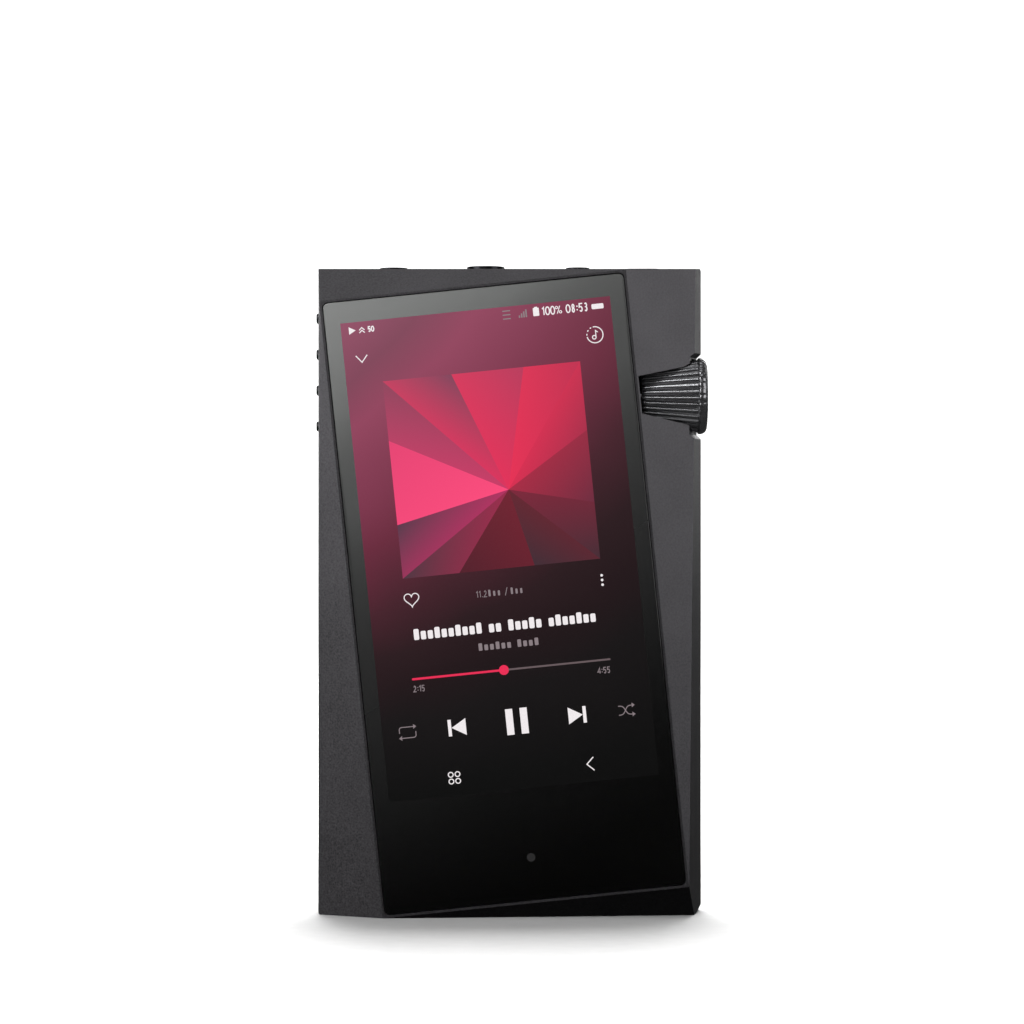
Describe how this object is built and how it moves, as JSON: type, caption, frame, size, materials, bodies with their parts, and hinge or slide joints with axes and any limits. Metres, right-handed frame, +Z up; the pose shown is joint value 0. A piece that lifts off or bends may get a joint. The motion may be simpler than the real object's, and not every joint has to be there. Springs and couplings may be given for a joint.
{
  "type": "digital audio player",
  "caption": "Pocket music player: a tilted touch display in a faceted metal body, with a volume wheel, side keys and headphone sockets.",
  "frame": {"origin": "middle of the flat bottom face, at mid depth", "axes": "+X to the right as the display is seen, +Y to the rear, +Z up along the height"},
  "size_m": [0.0652, 0.0162, 0.1083],
  "materials": {
    "anodised_aluminium": "bead blasted and anodised graphite grey, satin",
    "front_glass": "polished, printed black behind its border",
    "rear_glass": "polished glass printed black behind, opaque",
    "bonding_tape": "black foam tape",
    "display": "display module, gloss",
    "steel_sheet": "pressed sheet",
    "sensor_film": "printed film",
    "flex": "polyimide ribbon",
    "magnesium": "cast and coated",
    "steel_screw": "turned and plated",
    "window_plastic": "moulded",
    "circuit_board": "solder mask",
    "chip_resin": "moulded resin",
    "crystal_can": "plated can",
    "capacitor_yellow": "moulded tantalum",
    "connector_ivory": "moulded",
    "battery_foil": "laminated foil pouch",
    "black_plastic": "moulded",
    "plated_brass": "turned and plated",
    "wheel_metal": "turned, grooved and anodised black, gloss",
    "wheel_cap_metal": "spun disc, anodised",
    "bushing_bronze": "sintered",
    "magnet_grey": "nickel plated",
    "key_metal": "anodised, satin"
  },
  "bodies": {
    "player": {"main_body": "anodised_aluminium", "front_glass": "front_glass", "glass_tape": "bonding_tape", "display_panel": "display", "display_tray": "steel_sheet", "touch_sensor": "sensor_film", "display_flex": "flex", "chassis_plate": "magnesium", "plate_screws": "steel_screw", "rear_cover": "anodised_aluminium", "rear_glass": "rear_glass", "rear_tape": "bonding_tape", "rear_screws": "steel_screw", "antenna_window": "window_plastic", "antenna": "flex", "main_board": "circuit_board", "board_screws": "steel_screw", "processor_shield": "steel_sheet", "amplifier_shield": "steel_sheet", "converter_chips": "chip_resin", "memory_chips": "chip_resin", "clock_crystals": "crystal_can", "power_chip": "chip_resin", "capacitors": "capacitor_yellow", "display_connector": "connector_ivory", "battery": "battery_foil", "battery_tape": "bonding_tape", "battery_connector": "connector_ivory", "usb_shell": "steel_sheet", "usb_tongue": "black_plastic", "card_socket": "steel_sheet", "socket_3_5_ring": "plated_brass", "socket_4_4_ring": "plated_brass", "socket_2_5_ring": "plated_brass", "socket_3_5_housing": "black_plastic", "socket_4_4_housing": "black_plastic", "socket_2_5_housing": "black_plastic", "wheel_bushing": "bushing_bronze", "wheel_bracket": "magnesium", "encoder_sensor": "chip_resin", "key_switches": "steel_sheet", "key_board": "circuit_board", "power_switch": "steel_sheet"},
    "wheel": {"volume_wheel": "wheel_metal", "wheel_cap": "wheel_cap_metal", "wheel_shaft": "steel_screw", "shaft_clip": "steel_screw", "encoder_magnet": "magnet_grey"},
    "power": {"power_button": "key_metal"},
    "key_1": {"side_key_1": "key_metal"},
    "key_2": {"side_key_2": "key_metal"},
    "key_3": {"side_key_3": "key_metal"},
    "key_4": {"side_key_4": "key_metal"}
  },
  "joints": [
    {"name": "volume_turn", "type": "hinge", "parent": "player", "child": "wheel", "pos_m": [0.026, 0, 0.0866], "axis": [1, 0, 0], "continuous": true},
    {"name": "power_press", "type": "slide", "parent": "player", "child": "power", "axis": [0, 0, -1], "range_m": [0, 0.00028], "stiffness_N_per_m": 4000, "springref_m": -0.0001},
    {"name": "key_1_press", "type": "slide", "parent": "player", "child": "key_1", "axis": [1, 0, 0], "range_m": [0, 0.00025], "stiffness_N_per_m": 4000, "springref_m": -0.0001},
    {"name": "key_2_press", "type": "slide", "parent": "player", "child": "key_2", "axis": [1, 0, 0], "range_m": [0, 0.00025], "stiffness_N_per_m": 4000, "springref_m": -0.0001},
    {"name": "key_3_press", "type": "slide", "parent": "player", "child": "key_3", "axis": [1, 0, 0], "range_m": [0, 0.00025], "stiffness_N_per_m": 4000, "springref_m": -0.0001},
    {"name": "key_4_press", "type": "slide", "parent": "player", "child": "key_4", "axis": [1, 0, 0], "range_m": [0, 0.00025], "stiffness_N_per_m": 4000, "springref_m": -0.0001}
  ]
}
